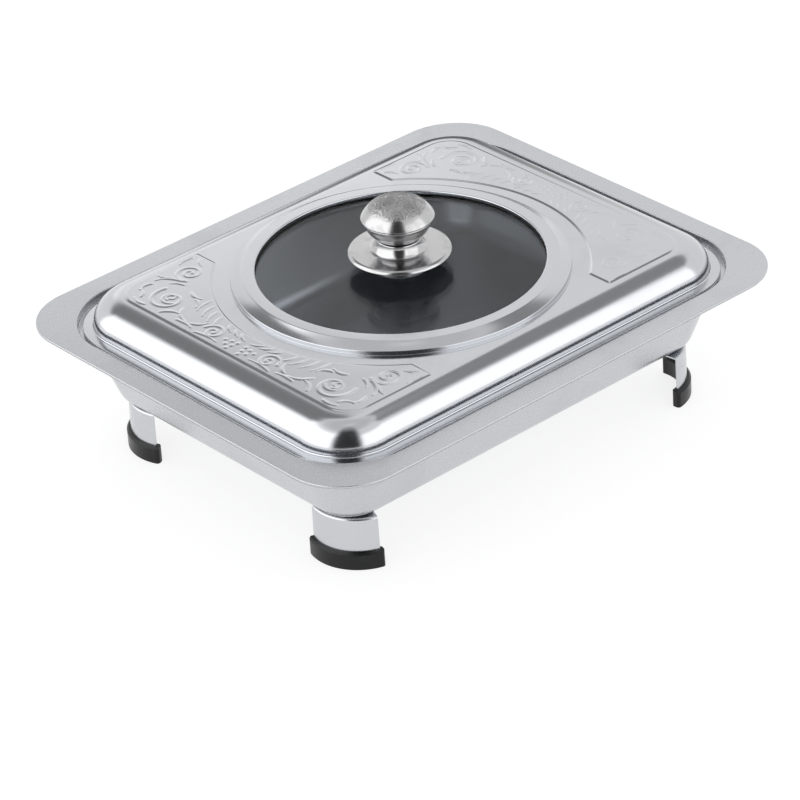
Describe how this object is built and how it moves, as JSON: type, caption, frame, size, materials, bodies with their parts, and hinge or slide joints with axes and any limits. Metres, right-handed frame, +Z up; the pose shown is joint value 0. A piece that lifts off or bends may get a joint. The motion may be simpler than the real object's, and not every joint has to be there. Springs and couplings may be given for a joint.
{
  "type": "chafing dish",
  "caption": "Rectangular steel serving pan on short curved legs, with a loose lid that has a round glass window, embossed ends and a mushroom knob.",
  "frame": {"origin": "on the table, under the middle of the pan", "axes": "+X along the long side, +Y along the short side, +Z up"},
  "size_m": [0.36, 0.2976, 0.1498],
  "materials": {
    "pan_steel": "satin stainless sheet",
    "lid_steel": "polished stainless sheet with embossed ends",
    "leg_steel": "satin stainless strip",
    "knob_steel": "mirror polished stainless, engraved crown",
    "fitting_steel": "plain stainless",
    "window_glass": "clear tempered glass",
    "seal_rubber": "matte silicone",
    "cap_rubber": "satin black moulded cap",
    "dark_resin": "dark moulded resin",
    "insert_brass": "turned brass"
  },
  "bodies": {
    "pan": {"outer_pan": "pan_steel", "leg_front": "leg_steel", "leg_left": "leg_steel", "leg_right": "leg_steel", "leg_back": "leg_steel", "foot_cap_front": "cap_rubber", "foot_cap_left": "cap_rubber", "foot_cap_right": "cap_rubber", "foot_cap_back": "cap_rubber"},
    "lid": {"lid_shell": "lid_steel", "window_glass": "window_glass", "window_gasket": "seal_rubber", "window_retainer": "fitting_steel", "knob_cap": "knob_steel", "knob_cup": "knob_steel", "knob_skirt": "knob_steel", "knob_foot": "knob_steel", "knob_gap_ring": "dark_resin", "knob_core": "dark_resin", "knob_insert": "insert_brass", "knob_seal": "seal_rubber", "glass_washer": "seal_rubber", "screw_washer": "fitting_steel", "spring_washer": "fitting_steel", "knob_screw": "fitting_steel"}
  },
  "joints": [
    {"name": "lid_lift", "type": "slide", "parent": "pan", "child": "lid", "axis": [0, 0, 1], "range_m": [0, 0.12]}
  ]
}
